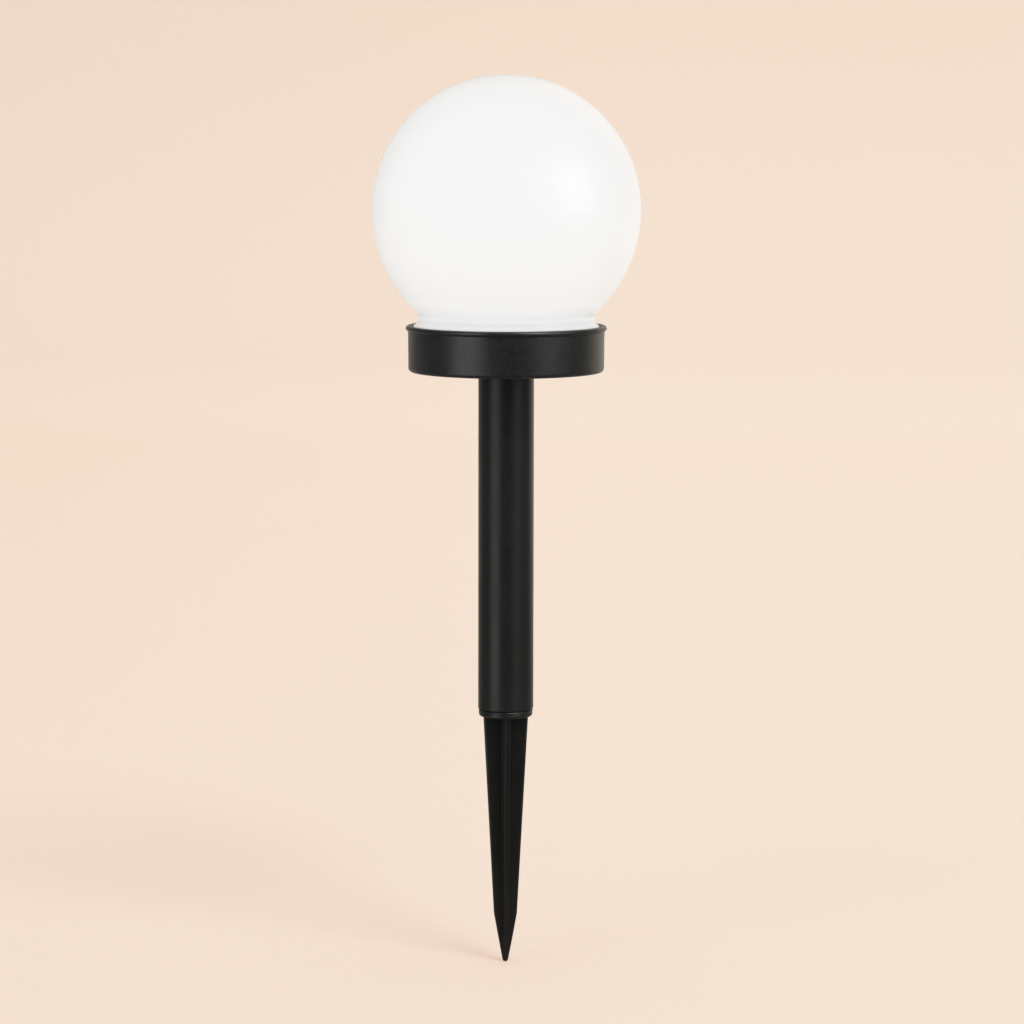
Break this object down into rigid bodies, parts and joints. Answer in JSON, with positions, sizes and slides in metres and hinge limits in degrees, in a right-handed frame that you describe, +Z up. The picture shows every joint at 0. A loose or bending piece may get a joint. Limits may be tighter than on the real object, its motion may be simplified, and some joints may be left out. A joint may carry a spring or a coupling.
{
  "type": "garden globe light",
  "caption": "Solar garden stake light: opal globe with a pinched neck on a shallow black cup, a plain black pole and a finned ground spike.",
  "frame": {"origin": "on the lamp's axis at the soil line, the underside of the spike's collar", "axes": "+Z up along the pole to the globe, +X to the right seen from the front, +Y to the back, where the battery lies"},
  "size_m": [0.12, 0.12, 0.4026],
  "materials": {
    "opal_globe": "opal, semi-gloss",
    "black_cup": "satin moulded",
    "black_pole": "satin extruded",
    "black_spike": "satin moulded",
    "black_knob": "fine matte",
    "white_deck": "satin moulded",
    "white_dish": "gloss",
    "seal_rubber": "matte silicone",
    "gasket_foam": "closed-cell foam",
    "screw_steel": "zinc plated",
    "board_green": "solder mask",
    "board_white": "solder mask",
    "silicon": "dark blue, fine lines",
    "tinned_copper": "tinned",
    "clear_resin": "clear, gloss",
    "led_resin": "clear, gloss",
    "chip_body": "matte",
    "ferrite": "sintered",
    "capacitor_can": "drawn",
    "switch_case": "moulded",
    "battery_steel": "nickel plated",
    "battery_wrap": "shrunk film",
    "frame_plastic": "moulded",
    "contact_metal": "nickel plated",
    "lead_red": "soft insulation",
    "lead_black": "soft insulation"
  },
  "bodies": {
    "spike": {"ground_spike": "black_spike"},
    "pole": {"pole_tube": "black_pole"},
    "globe": {"globe_diffuser": "opal_globe"},
    "switch": {"switch_knob": "black_knob"},
    "cover": {"battery_cover": "black_cup", "cover_seal": "gasket_foam", "cover_screws": "screw_steel"},
    "cell": {"battery_can": "battery_steel", "battery_sleeve": "battery_wrap"},
    "head": {"battery_frame": "frame_plastic", "battery_lead_black": "lead_black", "battery_lead_red": "lead_red", "board_screws": "screw_steel", "boost_inductor": "ferrite", "cell_ribbons": "tinned_copper", "circuit_board": "board_green", "deck_screws": "screw_steel", "driver_chip": "chip_body", "lamp_cup": "black_cup", "led_board": "board_white", "led_bulb": "led_resin", "led_lead_black": "lead_black", "led_lead_red": "lead_red", "led_legs": "tinned_copper", "led_reflector": "white_dish", "neck_seal": "seal_rubber", "negative_spring": "contact_metal", "pole_spigot": "black_spike", "positive_contact": "contact_metal", "solar_backing_board": "board_white", "solar_cells": "silicon", "solar_deck": "white_deck", "solar_glazing": "clear_resin", "solar_lead_black": "lead_black", "solar_lead_red": "lead_red", "spigot_screws": "screw_steel", "storage_capacitor": "capacitor_can", "switch_body": "switch_case", "switch_lead_in": "lead_red", "switch_lead_out": "lead_black", "switch_screws": "screw_steel"}
  },
  "joints": [
    {"name": "pole_pull", "type": "slide", "parent": "spike", "child": "pole", "axis": [0, 0, 1], "range_m": [0, 0.045]},
    {"name": "head_pull", "type": "slide", "parent": "pole", "child": "head", "axis": [0, 0, 1], "range_m": [0, 0.04]},
    {"name": "globe_pull", "type": "slide", "parent": "head", "child": "globe", "axis": [0, 0, 1], "range_m": [0, 0.07]},
    {"name": "switch_slide", "type": "slide", "parent": "head", "child": "switch", "axis": [1, 0, 0], "range_m": [0, 0.0025]},
    {"name": "cover_drop", "type": "slide", "parent": "head", "child": "cover", "axis": [0, 0, -1], "range_m": [0, 0.045]},
    {"name": "cell_drop", "type": "slide", "parent": "head", "child": "cell", "axis": [0, 0, -1], "range_m": [0, 0.025]}
  ],
  "couplings": [
    {"joint": "cell_drop", "follows": "cover_drop", "ratio": 0.55}
  ]
}
